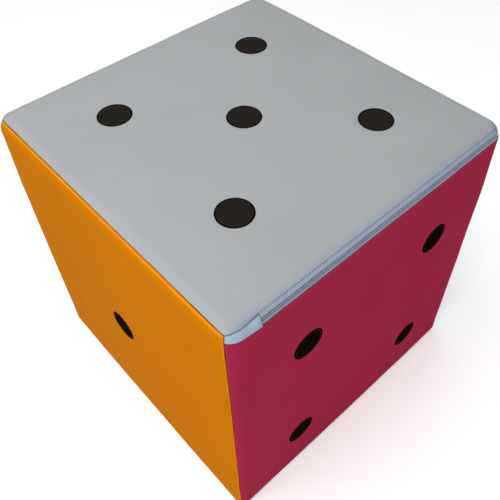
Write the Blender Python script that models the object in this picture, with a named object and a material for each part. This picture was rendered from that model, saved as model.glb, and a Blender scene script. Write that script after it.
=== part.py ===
"""Soft-play foam die, 400 mm: a foam cube in a zipped leatherette cover with sewn-on pips.

Units are metres. The origin is the centre of the underside and +Z is up. The five is on top, the four faces -Y,
the one faces -X, and opposite faces add up to seven. The zip runs round the front, right and back top edges, so
the top panel is a lid that hangs on its left seam.
"""

import math

import bmesh
import bpy
from mathutils import Matrix, Vector

# The cube
SIDE = 0.400
HALF = SIDE / 2
EDGE_RADIUS = 0.018
EDGE_SEGMENTS = 6
GAP = 0.0003

# Cover panels and foam
PANEL_THICKNESS = 0.0024
CORE_RADIUS = 0.020
SEAM_ANGLE = math.radians(45)

# Pips
PIP_RADIUS = 0.0197
PIP_THICKNESS = 0.0010
PIP_SPACING = 0.100
PIP_SEGMENTS = 28
ZIP_SIDE_PIP_DROP = 0.0095
ONE_PIP_RISE = 0.0026
TOP_PIP_SHIFT = 0.0012

# Zip. Angles are measured in the cross-section of a top edge, from straight up towards the outside.
ZIP_ANGLE = math.radians(58.5)
COIL_WIDTH = 0.0018
COIL_SPLIT = 0.0012
COIL_OUTER = EDGE_RADIUS
COIL_INNER = EDGE_RADIUS - 0.0022
TAPE_OUTER = EDGE_RADIUS - 0.0008
TAPE_INNER = EDGE_RADIUS - 0.0016
UPPER_TAPE_EDGE = math.radians(46.3)
LOWER_TAPE_EDGE = math.radians(78)
SIDE_PANEL_EDGE = math.radians(80)
ZIP_END_X = -0.184
COIL_STEPS = 6

# Slider
SLIDER_LENGTH = 0.011
SLIDER_WIDTH = 0.0080
SLIDER_PLATE = 0.0010
SLIDER_FLANGE = 0.0009
SLIDER_X = -0.1665
POST_LENGTH = 0.003
BRIDGE_LENGTH = 0.0062
BRIDGE_WIDTH = 0.0022
BRIDGE_RISE = 0.0012

# Tabs over the zip's ends, and the stops
TAB_MOUTH_X = -0.1585
TAB_END_X = -0.187
TAB_FROM = math.radians(38)
TAB_TO = math.radians(82)
TAB_RISE = 0.0026
TAB_THICKNESS = 0.0009
STOP_LENGTH = 0.003
UPPER_ZIP_START_X = -0.1580
LOWER_COIL_START_X = -0.1695
TOP_STOP_X = -0.1765
COIL_BACK_END_X = -0.1715

GREY = (0.415, 0.440, 0.450)
ORANGE = (0.610, 0.190, 0.008)
MAGENTA = (0.300, 0.020, 0.052)
PALE_BLUE = (0.375, 0.480, 0.640)
GREEN = (0.150, 0.300, 0.050)
VIOLET = (0.110, 0.055, 0.210)
BLACK = (0.020, 0.018, 0.018)
FOAM = (0.780, 0.700, 0.480)
TAPE_BLUE = (0.235, 0.300, 0.400)
COIL_BLUE = (0.330, 0.385, 0.470)
ZINC = (0.520, 0.520, 0.530)

# Pip centres on a face in units of PIP_SPACING: across to the right, then up, seen from outside
PATTERNS = {
    1: [(0, 0)],
    2: [(-1, 1), (1, -1)],
    3: [(-1, 1), (0, 0), (1, -1)],
    4: [(-1, 1), (1, 1), (-1, -1), (1, -1)],
    5: [(0, 0), (-1, 1), (1, 1), (-1, -1), (1, -1)],
    6: [(-1, 1), (-1, 0), (-1, -1), (1, 1), (1, 0), (1, -1)],
}


class Face:
    """One face of the die: its name, its count of pips, its colour and its frame on the cube."""

    def __init__(self, name, pips, colour, normal, up, shift=(0, 0)):
        self.name = name
        self.colour = colour
        self.normal = Vector(normal)
        self.up = Vector(up)
        self.across = self.up.cross(self.normal)
        self.centre = Vector((0, 0, HALF)) + self.normal * HALF
        self.pips = [
            (across * PIP_SPACING + shift[0], up * PIP_SPACING + shift[1])
            for across, up in PATTERNS[pips]
        ]

    def frame(self, across, up, outward):
        """Matrix of a local frame on the face whose Z points outward."""
        axes = Matrix((self.across, self.up, self.normal)).transposed().to_4x4()
        place = self.centre + self.across * across + self.up * up + self.normal * outward
        return Matrix.Translation(place) @ axes


FACES = [
    Face("top", 5, GREY, (0, 0, 1), (0, 1, 0), shift=(-TOP_PIP_SHIFT, TOP_PIP_SHIFT)),
    Face("front", 4, MAGENTA, (0, -1, 0), (0, 0, 1), shift=(0, -ZIP_SIDE_PIP_DROP)),
    Face("left", 1, ORANGE, (-1, 0, 0), (0, 0, 1), shift=(0, ONE_PIP_RISE)),
    Face("right", 6, PALE_BLUE, (1, 0, 0), (0, 0, 1), shift=(0, -ZIP_SIDE_PIP_DROP)),
    Face("back", 3, GREEN, (0, 1, 0), (0, 0, 1), shift=(0, -ZIP_SIDE_PIP_DROP)),
    Face("bottom", 2, VIOLET, (0, 0, -1), (0, -1, 0)),
]


def clear_scene():
    for old in list(bpy.data.objects):
        bpy.data.objects.remove(old, do_unlink=True)


def new_collection(name):
    collection = bpy.data.collections.new(name)
    bpy.context.scene.collection.children.link(collection)
    return collection


def material(name, colour, roughness, metallic=0.0):
    made = bpy.data.materials.new(name)
    made.use_nodes = True
    shader = made.node_tree.nodes["Principled BSDF"]
    shader.inputs["Base Color"].default_value = (*colour, 1)
    shader.inputs["Roughness"].default_value = roughness
    shader.inputs["Metallic"].default_value = metallic
    return made


def add_part(name, bm, finish, collection, place=None):
    """Turns a bmesh into a named object with its material, and frees the bmesh."""
    bmesh.ops.recalc_face_normals(bm, faces=bm.faces[:])
    mesh = bpy.data.meshes.new(name)
    bm.to_mesh(mesh)
    bm.free()
    if finish:
        mesh.materials.append(finish)
    part = bpy.data.objects.new(name, mesh)
    if place:
        part.matrix_world = place
    collection.objects.link(part)
    return part


def add_helper(name, bm, helpers, place=None):
    """A cutter or a piece for a union: drawn as wire and left out of the render."""
    helper = add_part(name, bm, None, helpers, place)
    helper.hide_render = True
    helper.display_type = "WIRE"
    return helper


def combine(part, operation, helper):
    boolean = part.modifiers.new(f"{operation.title()} {helper.name}", "BOOLEAN")
    boolean.operation = operation
    boolean.solver = "EXACT"
    boolean.object = helper


def add_box(bm, low, high):
    low, high = Vector(low), Vector(high)
    size = high - low
    place = Matrix.Translation((low + high) / 2) @ Matrix.Diagonal((*size, 1))
    bmesh.ops.create_cube(bm, size=1, matrix=place)


def box(low, high):
    bm = bmesh.new()
    add_box(bm, low, high)
    return bm


def shade_round(part):
    part.data.shade_smooth()
    part.data.set_sharp_from_angle(angle=math.radians(40))


def rounded_cube(inset, radius):
    """Closed surface of the die's rounded cube, its faces set in by a distance."""
    bm = bmesh.new()
    size = SIDE - 2 * inset
    bmesh.ops.create_cube(bm, size=size, matrix=Matrix.Translation((0, 0, HALF)))
    bmesh.ops.bevel(
        bm,
        geom=bm.verts[:] + bm.edges[:],
        offset=radius,
        offset_type="OFFSET",
        segments=EDGE_SEGMENTS,
        profile=0.5,
        affect="EDGES",
        clamp_overlap=False,
    )
    return bm


def shell_between(planes):
    """The cover's wall between cutting planes, each a point on it and its outward normal.

    Its outside and inside are the same rounded cube at two insets, cut by the same planes, so their open rims
    match and are bridged.
    """
    shell = rounded_cube(0, EDGE_RADIUS)
    inside = rounded_cube(PANEL_THICKNESS, EDGE_RADIUS - PANEL_THICKNESS)
    bmesh.ops.reverse_faces(inside, faces=inside.faces[:])
    inner_mesh = bpy.data.meshes.new("inside")
    inside.to_mesh(inner_mesh)
    inside.free()
    shell.from_mesh(inner_mesh)
    bpy.data.meshes.remove(inner_mesh)
    for point, normal in planes:
        everything = shell.verts[:] + shell.edges[:] + shell.faces[:]
        bmesh.ops.bisect_plane(
            shell, geom=everything, plane_co=point, plane_no=normal, clear_outer=True
        )
    rims = [edge for edge in shell.edges if edge.is_boundary]
    bmesh.ops.bridge_loops(shell, edges=rims)
    return shell


def seam_height(angle):
    """Height of a seam on a top edge, at an angle round its rounding."""
    return SIDE - EDGE_RADIUS + EDGE_RADIUS * math.cos(angle)


def panel_planes(face):
    """Planes that bound a panel: level seams above and below the sides, and upright ones at the corners."""
    seam = seam_height(SEAM_ANGLE) - HALF
    middle = Vector((0, 0, HALF))
    if face.normal.z:
        return [(middle + face.normal * (seam + GAP / 2), -face.normal)]
    planes = [(middle + up * (seam - GAP / 2), up) for up in (Vector((0, 0, 1)), Vector((0, 0, -1)))]
    for way in (-1, 1):
        outward = (face.across * way - face.normal).normalized()
        planes.append((-outward * GAP / 2, outward))
    return planes


def add_panel(face, collection, helpers):
    finish = material(f"{face.name} leatherette", face.colour, 0.55)
    panel = add_part(f"{face.name}_panel", shell_between(panel_planes(face)), finish, collection)
    for index, (across, up) in enumerate(face.pips, 1):
        depth = PIP_THICKNESS + GAP
        bm = bmesh.new()
        bmesh.ops.create_cone(
            bm,
            cap_ends=True,
            segments=PIP_SEGMENTS,
            radius1=PIP_RADIUS + GAP,
            radius2=PIP_RADIUS + GAP,
            depth=2 * depth,
        )
        name = f"{face.name}_pip_recess_{index}"
        combine(panel, "DIFFERENCE", add_helper(name, bm, helpers, face.frame(across, up, 0)))
    shade_round(panel)
    return panel


def add_pips(face, finish, collection):
    for index, (across, up) in enumerate(face.pips, 1):
        bm = bmesh.new()
        bmesh.ops.create_cone(
            bm,
            cap_ends=True,
            segments=PIP_SEGMENTS,
            radius1=PIP_RADIUS,
            radius2=PIP_RADIUS,
            depth=PIP_THICKNESS,
        )
        name = f"{face.name}_pip_{index}"
        place = face.frame(across, up, -PIP_THICKNESS / 2)
        shade_round(add_part(name, bm, finish, collection, place))


def add_foam_core(collection):
    inset = PANEL_THICKNESS + GAP
    finish = material("foam", FOAM, 0.95)
    core = add_part("foam_core", rounded_cube(inset, CORE_RADIUS), finish, collection)
    shade_round(core)


def section_point(radius, angle):
    """A point in the cross-section of the front top edge, in the plane x = 0."""
    y = -(HALF - EDGE_RADIUS) - radius * math.sin(angle)
    z = SIDE - EDGE_RADIUS + radius * math.cos(angle)
    return Vector((0, y, z))


def sector_outline(start, end, inner, outer, steps=2):
    """Outline of a strip's section between two angles; the radii are numbers or functions of the angle."""
    angles = [start + (end - start) * step / steps for step in range(steps + 1)]
    outer_of = outer if callable(outer) else lambda angle: outer
    inner_of = inner if callable(inner) else lambda angle: inner
    outside = [section_point(outer_of(angle), angle) for angle in angles]
    inside = [section_point(inner_of(angle), angle) for angle in reversed(angles)]
    return outside + inside


def extruded(bm, edges, offset):
    made = bmesh.ops.extrude_edge_only(bm, edges=edges)["geom"]
    corners = [item for item in made if isinstance(item, bmesh.types.BMVert)]
    bmesh.ops.translate(bm, verts=corners, vec=offset)
    return [item for item in made if isinstance(item, bmesh.types.BMEdge)]


def turned(bm, edges, centre):
    corners = list({corner for edge in edges for corner in edge.verts})
    made = bmesh.ops.spin(
        bm,
        geom=corners + edges,
        cent=centre,
        axis=(0, 0, 1),
        angle=math.radians(90),
        steps=COIL_STEPS,
    )["geom_last"]
    return [item for item in made if isinstance(item, bmesh.types.BMEdge)]


def open_section(outline, x):
    """A bmesh holding only the section's closed outline, at a place along the front edge."""
    bm = bmesh.new()
    corners = [bm.verts.new(point + Vector((x, 0, 0))) for point in outline]
    edges = [bm.edges.new((corners[i - 1], corners[i])) for i in range(len(corners))]
    return bm, edges


def with_ends_filled(bm):
    rims = [edge for edge in bm.edges if edge.is_boundary]
    bmesh.ops.holes_fill(bm, edges=rims, sides=0)
    return bm


def straight_strip(outline, start_x, end_x):
    bm, edges = open_section(outline, start_x)
    extruded(bm, edges, Vector((end_x - start_x, 0, 0)))
    return with_ends_filled(bm)


def zip_strip(outline, start_x, end_x):
    """A strip along the front edge, round the two right-hand corners and back along the rear edge."""
    centre = HALF - EDGE_RADIUS
    bm, edges = open_section(outline, start_x)
    edges = extruded(bm, edges, Vector((centre - start_x, 0, 0)))
    edges = turned(bm, edges, (centre, -centre, 0))
    edges = extruded(bm, edges, Vector((0, 2 * centre, 0)))
    edges = turned(bm, edges, (centre, centre, 0))
    extruded(bm, edges, Vector((end_x - centre, 0, 0)))
    return with_ends_filled(bm)


def add_zip(collection):
    half_split = COIL_SPLIT / 2 / EDGE_RADIUS
    row = COIL_WIDTH / EDGE_RADIUS
    clear = 1.2 * GAP / TAPE_INNER
    upper_row = (ZIP_ANGLE - half_split - row, ZIP_ANGLE - half_split)
    lower_row = (ZIP_ANGLE + half_split, ZIP_ANGLE + half_split + row)
    coil = material("zip coil", COIL_BLUE, 0.45)
    tape = material("zip tape", TAPE_BLUE, 0.85)
    steel = material("zip stops", ZINC, 0.35, 1.0)

    outline = sector_outline(*upper_row, COIL_INNER, COIL_OUTER)
    add_part("zip_coil_upper", zip_strip(outline, UPPER_ZIP_START_X, COIL_BACK_END_X), coil, collection)
    outline = sector_outline(*lower_row, COIL_INNER, COIL_OUTER)
    add_part("zip_coil_lower", zip_strip(outline, LOWER_COIL_START_X, COIL_BACK_END_X), coil, collection)

    outline = sector_outline(UPPER_TAPE_EDGE, upper_row[0] - clear, TAPE_INNER, TAPE_OUTER)
    add_part("zip_tape_upper", zip_strip(outline, UPPER_ZIP_START_X, ZIP_END_X), tape, collection)
    outline = sector_outline(lower_row[1] + clear, LOWER_TAPE_EDGE, TAPE_INNER, TAPE_OUTER)
    add_part("zip_tape_lower", zip_strip(outline, ZIP_END_X, ZIP_END_X), tape, collection)

    outline = sector_outline(*lower_row, COIL_INNER, COIL_OUTER)
    stop = straight_strip(outline, TOP_STOP_X, TOP_STOP_X + STOP_LENGTH)
    add_part("zip_top_stop", stop, steel, collection)
    outline = sector_outline(upper_row[0], lower_row[1], COIL_INNER, COIL_OUTER, steps=4)
    stop = straight_strip(outline, COIL_BACK_END_X - GAP - STOP_LENGTH, COIL_BACK_END_X - GAP)
    bmesh.ops.scale(stop, vec=(1, -1, 1), verts=stop.verts[:])
    add_part("zip_bottom_stop", stop, steel, collection)


def add_slider(collection, helpers):
    """Two plates joined by a post between the rows of teeth, with side flanges and a bridge on top.

    Local X runs along the zip, Y towards the lid and Z out of the cover.
    """
    place = Matrix.Translation(section_point(EDGE_RADIUS, ZIP_ANGLE) + Vector((SLIDER_X, 0, 0)))
    place @= Matrix.Rotation(ZIP_ANGLE, 4, "X")
    end, side = SLIDER_LENGTH / 2, SLIDER_WIDTH / 2
    roof = GAP + SLIDER_PLATE
    floor = COIL_INNER - EDGE_RADIUS - 1.7 * GAP
    flange_foot = TAPE_OUTER - EDGE_RADIUS + GAP / 2
    finish = material("zip slider", ZINC, 0.32, 1.0)
    slider = add_part("zip_slider", box((-end, -side, GAP), (end, side, roof)), finish, collection, place)

    sunk = SLIDER_PLATE / 2
    pieces = {
        "slider_lower_plate": ((-end, -side, floor - SLIDER_PLATE), (end, side, floor)),
        "slider_post": (
            (-end + GAP, -COIL_SPLIT / 4, floor - sunk),
            (-end + GAP + POST_LENGTH, COIL_SPLIT / 4, GAP + sunk),
        ),
        "slider_flange_lid": (
            (-end + GAP, side - SLIDER_FLANGE, flange_foot),
            (end - GAP, side - GAP / 2, GAP + sunk),
        ),
        "slider_flange_side": (
            (-end + GAP, -side + GAP / 2, flange_foot),
            (end - GAP, -side + SLIDER_FLANGE, GAP + sunk),
        ),
        "slider_bridge": (
            (-BRIDGE_LENGTH / 2, -BRIDGE_WIDTH / 2, GAP + sunk),
            (BRIDGE_LENGTH / 2, BRIDGE_WIDTH / 2, roof + BRIDGE_RISE),
        ),
    }
    for name, (low, high) in pieces.items():
        combine(slider, "UNION", add_helper(name, box(low, high), helpers, place))
    eye_end = BRIDGE_LENGTH / 2 - SLIDER_PLATE
    eye = box((-eye_end, -BRIDGE_WIDTH, roof + GAP / 3), (eye_end, BRIDGE_WIDTH, roof + BRIDGE_RISE / 2))
    combine(slider, "DIFFERENCE", add_helper("slider_bridge_eye", eye, helpers, place))


def add_tabs(collection):
    """The arched leatherette tab over each end of the zip, sewn to the lid."""
    finish = material("tab leatherette", PALE_BLUE, 0.5)

    def inside(angle):
        rise = math.sin(math.pi * (angle - TAB_FROM) / (TAB_TO - TAB_FROM))
        return EDGE_RADIUS + 1.2 * GAP + TAB_RISE * max(rise, 0)

    def outside(angle):
        return inside(angle) + TAB_THICKNESS

    outline = sector_outline(TAB_FROM, TAB_TO, inside, outside, steps=10)
    front = straight_strip(outline, TAB_END_X, TAB_MOUTH_X)
    back = front.copy()
    bmesh.ops.scale(back, vec=(1, -1, 1), verts=back.verts[:])
    shade_round(add_part("zip_garage_tab", front, finish, collection))
    shade_round(add_part("zip_end_tab", back, finish, collection))


def main():
    clear_scene()
    die = new_collection("foam_die")
    helpers = new_collection("cutters")
    helpers.hide_render = True

    add_foam_core(die)
    black = material("pip leatherette", BLACK, 0.45)
    panels = {}
    for face in FACES:
        panels[face.name] = add_panel(face, die, helpers)
        add_pips(face, black, die)

    reach = HALF + EDGE_RADIUS
    slot = box((ZIP_END_X - GAP, -reach, seam_height(SIDE_PANEL_EDGE)), (reach, reach, SIDE + reach))
    slot = add_helper("zip_slot", slot, helpers)
    for name in ("front", "right", "back"):
        combine(panels[name], "DIFFERENCE", slot)

    add_zip(die)
    add_slider(die, helpers)
    add_tabs(die)


main()
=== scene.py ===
"""Soft foam die, 400 mm: the sewn leatherette cover, its pips, its zip and the foam inside it.

The cover is six sewn panels over a foam cube. The top panel is a lid, which hangs on its left seam and is
zipped round the other three edges. Lengths are metres, and angles in a top edge's section are measured from
straight up towards the outside.
"""

import logging
import math
from dataclasses import dataclass, field
from enum import Enum, IntEnum
from typing import Callable, Iterable

import bmesh
import bpy
from mathutils import Matrix, Vector, kdtree, noise


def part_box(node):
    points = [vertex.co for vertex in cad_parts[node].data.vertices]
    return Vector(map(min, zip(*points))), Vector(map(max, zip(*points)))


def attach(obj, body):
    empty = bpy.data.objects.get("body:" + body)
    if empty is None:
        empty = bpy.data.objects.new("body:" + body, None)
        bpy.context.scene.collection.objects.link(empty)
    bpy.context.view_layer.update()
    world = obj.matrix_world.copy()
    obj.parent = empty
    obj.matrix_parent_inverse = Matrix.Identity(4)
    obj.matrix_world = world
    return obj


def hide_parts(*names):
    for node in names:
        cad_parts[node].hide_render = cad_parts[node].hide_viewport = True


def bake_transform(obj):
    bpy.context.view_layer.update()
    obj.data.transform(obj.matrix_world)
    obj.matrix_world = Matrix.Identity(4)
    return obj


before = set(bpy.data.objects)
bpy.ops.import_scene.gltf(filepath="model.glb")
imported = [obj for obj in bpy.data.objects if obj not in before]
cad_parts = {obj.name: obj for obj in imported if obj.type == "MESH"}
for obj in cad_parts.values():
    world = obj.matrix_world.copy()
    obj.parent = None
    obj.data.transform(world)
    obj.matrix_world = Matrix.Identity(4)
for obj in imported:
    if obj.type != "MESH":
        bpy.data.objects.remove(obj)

LOG = logging.getLogger("foam_die")
MM = 0.001
BORDER_STEPS_MM = (
    0.0, 0.05, 0.18, 0.4, 0.75, 1.2, 1.8, 2.5, 3.3, 4.15, 4.6, 5.0, 5.4, 6.0, 6.8,
)
"""Distances from a sewn border at which a panel has its closest rows."""


class Leg(IntEnum):
    """The four upright sides, counted round the die as the zip runs."""

    FRONT = 0
    RIGHT = 1
    BACK = 2
    LEFT = 3


class Weave(Enum):
    """Cloths used inside the cover, with their threads per metre."""

    TAPE = 1500.0
    BACKING = 900.0


# --------------------------------------------------------------------------------------------------
# Helpers for meshes


def to_object(name: str, bm: bmesh.types.BMesh, materials: Iterable[bpy.types.Material]) -> bpy.types.Object:
    """Turns a finished bmesh into an object of the scene.

    Args:
        name: The piece's name.
        bm: The mesh, which is freed here.
        materials: The finishes, in the order of the faces' material numbers.

    Returns:
        The new object, shaded smooth.
    """
    mesh = bpy.data.meshes.new(name)
    for face in bm.faces:
        face.smooth = True
    bm.to_mesh(mesh)
    bm.free()
    for finish in materials:
        mesh.materials.append(finish)
    piece = bpy.data.objects.new(name, mesh)
    bpy.context.scene.collection.objects.link(piece)
    return piece


def mapped_grid(columns: int, rows: int, place: Callable[[int, int], Vector]) -> bmesh.types.BMesh:
    """Makes a grid and moves each of its points to where it belongs.

    Args:
        columns: Number of cells along the first direction.
        rows: Number of cells along the second direction.
        place: Gives the place of the point at a column and a row.

    Returns:
        The grid, whose faces look along the first direction crossed with the second.
    """
    bm = bmesh.new()
    bmesh.ops.create_grid(bm, x_segments=columns, y_segments=rows, size=1.0)
    for vert in bm.verts:
        column = round((vert.co.x + 1) / 2 * columns)
        row = round((vert.co.y + 1) / 2 * rows)
        vert.co = place(column, row)
    bm.normal_update()
    return bm


def thicken(piece: bpy.types.Object, thickness: float, inner_slot: int = 0) -> None:
    """Gives a sheet its thickness, inwards from its outer side.

    Args:
        piece: The sheet.
        thickness: How thick the leatherette or tape is.
        inner_slot: How many material slots further the inner side's finish is.
    """
    shell = piece.modifiers.new("thickness", "SOLIDIFY")
    shell.thickness = thickness
    shell.offset = -1.0
    shell.use_even_offset = False
    shell.material_offset = inner_slot
    shell.material_offset_rim = 0


def smoothstep(low: float, high: float, value: float) -> float:
    """Gives 0 below low, 1 above high, and a smooth rise between them."""
    share = min(1.0, max(0.0, (value - low) / (high - low)))
    return share * share * (3 - 2 * share)


def even_steps(start: float, end: float, step: float) -> list[float]:
    """Gives evenly spaced numbers from start to end, about step apart, with both ends."""
    count = max(1, round(abs(end - start) / step))
    return [start + (end - start) * i / count for i in range(count + 1)]


def oriented(centre: Vector, along: Vector, out: Vector, size: Vector) -> Matrix:
    """Gives the transform of a small part.

    Args:
        centre: Where its middle goes.
        along: Where its own X goes.
        out: Where its own Z goes, roughly.
        size: Its lengths along its own X, Y and Z.

    Returns:
        The 4 by 4 transform.
    """
    x = along.normalized()
    y = out.cross(x).normalized()
    z = x.cross(y)
    turn = Matrix((x, y, z)).transposed().to_4x4()
    return Matrix.Translation(centre) @ turn @ Matrix.Diagonal((*size, 1.0))


class Beads:
    """A row of small rounded parts, such as stitches or teeth, gathered into one mesh."""

    def __init__(self, slot: int = 0, around: int = 6, rings: int = 4) -> None:
        """Makes the one bead that the row repeats.

        Args:
            slot: Its material number.
            around: Its number of sides.
            rings: Its number of rings.
        """
        bm = bmesh.new()
        lying = Matrix.Rotation(math.pi / 2, 4, "Y")
        bmesh.ops.create_uvsphere(bm, u_segments=around, v_segments=rings, radius=0.5, matrix=lying)
        for face in bm.faces:
            face.material_index = slot
        self.pattern = bpy.data.meshes.new("bead")
        bm.to_mesh(self.pattern)
        bm.free()
        self.places: list[Matrix] = []

    def add(self, matrix: Matrix) -> None:
        """Adds one bead, whose length is 1 along its own X before the transform."""
        self.places.append(matrix)

    def pour(self, bm: bmesh.types.BMesh) -> bmesh.types.BMesh:
        """Puts every bead into a mesh and gives that mesh back."""
        for matrix in self.places:
            copy = self.pattern.copy()
            copy.transform(matrix)
            bm.from_mesh(copy)
            bpy.data.meshes.remove(copy)
        bpy.data.meshes.remove(self.pattern)
        return bm


# --------------------------------------------------------------------------------------------------
# Finishes


class Recipe:
    """Short words for building a node tree."""

    def __init__(self, tree: bpy.types.NodeTree) -> None:
        """Keeps the tree and empties it."""
        self.tree = tree
        tree.nodes.clear()

    def add(self, kind: str, inputs: dict | None = None, **settings: object) -> bpy.types.Node:
        """Adds a node.

        Args:
            kind: The node's type.
            inputs: Values or output sockets, by the name or number of the input.
            **settings: The node's own properties.

        Returns:
            The node.
        """
        node = self.tree.nodes.new(kind)
        for name, value in settings.items():
            setattr(node, name, value)
        for name, value in (inputs or {}).items():
            if isinstance(value, bpy.types.NodeSocket):
                self.tree.links.new(value, node.inputs[name])
            else:
                node.inputs[name].default_value = value
        return node

    def math(self, operation: str, first: object, second: object = 0.0) -> bpy.types.NodeSocket:
        """Adds a math node on two numbers or sockets and gives its output."""
        return self.add("ShaderNodeMath", {0: first, 1: second}, operation=operation).outputs[0]

    def span(
        self, value: object, low: float, high: float, to_low: float, to_high: float,
    ) -> bpy.types.NodeSocket:
        """Maps a value from one range to another, clamped, and gives the output."""
        inputs = {"Value": value, "From Min": low, "From Max": high, "To Min": to_low, "To Max": to_high}
        return self.add("ShaderNodeMapRange", inputs).outputs["Result"]

    def noise(
        self, coordinates: object, scale: float, detail: float = 2.0, rough: float = 0.5,
    ) -> bpy.types.NodeSocket:
        """Adds soft noise at so many blobs per metre and gives its value."""
        inputs = {"Vector": coordinates, "Scale": scale, "Detail": detail, "Roughness": rough}
        return self.add("ShaderNodeTexNoise", inputs).outputs[0]


def start_group(name: str, inputs: dict[str, str], outputs: dict[str, str]) -> tuple:
    """Makes an empty node group with named sockets.

    Args:
        name: The group's name.
        inputs: Socket types by name.
        outputs: Socket types by name.

    Returns:
        The group, its recipe, its input node and its output node.
    """
    group = bpy.data.node_groups.new(name, "ShaderNodeTree")
    for label, kind in inputs.items():
        group.interface.new_socket(label, in_out="INPUT", socket_type=kind)
    for label, kind in outputs.items():
        group.interface.new_socket(label, in_out="OUTPUT", socket_type=kind)
    recipe = Recipe(group)
    return group, recipe, recipe.add("NodeGroupInput"), recipe.add("NodeGroupOutput")


def grain_group() -> bpy.types.NodeTree:
    """Makes the pebbled grain of leatherette: fine cells with creases between them, and soft blotches.

    Returns:
        The group, with the outputs Height, Tone and Gloss.
    """
    group, r, given, out = start_group(
        "leatherette_grain",
        {"Coordinates": "NodeSocketVector"},
        {"Height": "NodeSocketFloat", "Tone": "NodeSocketFloat", "Gloss": "NodeSocketFloat"},
    )
    where = given.outputs["Coordinates"]
    cells = r.add("ShaderNodeTexVoronoi", {"Vector": where, "Scale": 820.0, "Randomness": 0.95}, feature="F1")
    creases = r.span(cells.outputs["Distance"], 0.1, 0.75, 1.0, 0.0)
    coarse = r.noise(where, 260.0, 3.0, 0.6)
    height = r.math("ADD", r.math("MULTIPLY", creases, 0.7), r.math("MULTIPLY", coarse, 0.6))
    waves = r.noise(where, 9.0, 3.0, 0.55)
    specks = r.noise(where, 420.0, 2.0, 0.6)
    tone = r.math("MULTIPLY", r.span(waves, 0.3, 0.7, 0.965, 1.03), r.span(specks, 0.25, 0.75, 0.97, 1.025))
    gloss = r.span(r.noise(where, 30.0, 4.0, 0.6), 0.3, 0.7, -0.05, 0.05)
    for name, value in (("Height", height), ("Tone", tone), ("Gloss", gloss)):
        r.tree.links.new(value, out.inputs[name])
    return group


def seam_group() -> bpy.types.NodeTree:
    """Makes the look along a seam: painted shade in the groove, and a painted highlight with some rubbing on
    the roll beside it.

    Returns:
        The group, with two outputs from 0 to 1: the painted shade, and the highlight with rubbing.
    """
    group, r, given, out = start_group(
        "seam_wear",
        {"Coordinates": "NodeSocketVector", "Nearness": "NodeSocketFloat"},
        {"Grime": "NodeSocketFloat", "Rub": "NodeSocketFloat"},
    )
    near = given.outputs["Nearness"]
    patches = r.noise(given.outputs["Coordinates"], 70.0, 4.0, 0.65)
    # Painted shade in the seam's groove, in patches.
    grime = r.math("MULTIPLY", r.span(near, 0.86, 1.0, 0.0, 1.0), r.span(patches, 0.25, 0.6, 0.7, 1.0))
    # Painted highlight with some rubbing on the roll beside the seam, where the edge turns to the light.
    roll = r.math("MULTIPLY", r.span(near, 0.5, 0.78, 0.0, 1.0), r.span(near, 0.8, 0.92, 1.0, 0.0))
    rub = r.math("MULTIPLY", roll, r.span(patches, 0.25, 0.65, 0.3, 1.0))
    r.tree.links.new(grime, out.inputs["Grime"])
    r.tree.links.new(rub, out.inputs["Rub"])
    return group


def weave_group() -> bpy.types.NodeTree:
    """Makes a plain weave of crossing threads.

    Returns:
        The group, with the outputs Height and Tone.
    """
    group, r, given, out = start_group(
        "plain_weave",
        {"Coordinates": "NodeSocketVector", "Threads": "NodeSocketFloat"},
        {"Height": "NodeSocketFloat", "Tone": "NodeSocketFloat"},
    )
    where, threads = given.outputs["Coordinates"], given.outputs["Threads"]
    turned = r.add("ShaderNodeVectorRotate", {"Vector": where, "Axis": (0.3, 0.5, 0.8), "Angle": 0.6})
    parts = r.add("ShaderNodeSeparateXYZ", {"Vector": turned.outputs[0]})
    waves = []
    for axis in "XYZ":
        phase = r.math("MULTIPLY", r.math("MULTIPLY", parts.outputs[axis], threads), 2 * math.pi)
        waves.append(r.math("SINE", phase))
    height = r.math("ABSOLUTE", r.math("MULTIPLY", waves[0], r.math("ADD", waves[1], waves[2])))
    fuzz = r.noise(where, 700.0, 2.0, 0.6)
    # The tone is deeper where the threads lie low: painted shade between the threads.
    tone = r.math("MULTIPLY", r.span(height, 0.0, 1.4, 0.82, 1.08), r.span(fuzz, 0.3, 0.7, 0.93, 1.06))
    r.tree.links.new(height, out.inputs["Height"])
    r.tree.links.new(tone, out.inputs["Tone"])
    return group


def cell_group() -> bpy.types.NodeTree:
    """Makes the open cells of cut foam.

    Returns:
        The group, with the outputs Height and Tone.
    """
    group, r, given, out = start_group(
        "open_cells",
        {"Coordinates": "NodeSocketVector"},
        {"Height": "NodeSocketFloat", "Tone": "NodeSocketFloat"},
    )
    where = given.outputs["Coordinates"]
    pores = r.add("ShaderNodeTexVoronoi", {"Vector": where, "Scale": 950.0}, feature="DISTANCE_TO_EDGE")
    large = r.noise(where, 90.0, 4.0, 0.7)
    walls = r.span(pores.outputs["Distance"], 0.0, 0.25, 1.0, 0.0)
    height = r.math("ADD", walls, r.math("MULTIPLY", large, 0.5))
    # The tone is deeper inside the pores than on the cell walls: painted shade in the hollows.
    tone = r.math("MULTIPLY", r.span(walls, 0.0, 1.0, 0.72, 1.06), r.span(large, 0.3, 0.7, 0.93, 1.05))
    r.tree.links.new(height, out.inputs["Height"])
    r.tree.links.new(tone, out.inputs["Tone"])
    return group


class Effects:
    """The shared node groups, made once."""

    def __init__(self) -> None:
        """Builds every group."""
        self.grain = grain_group()
        self.seam = seam_group()
        self.weave = weave_group()
        self.cells = cell_group()


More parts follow.
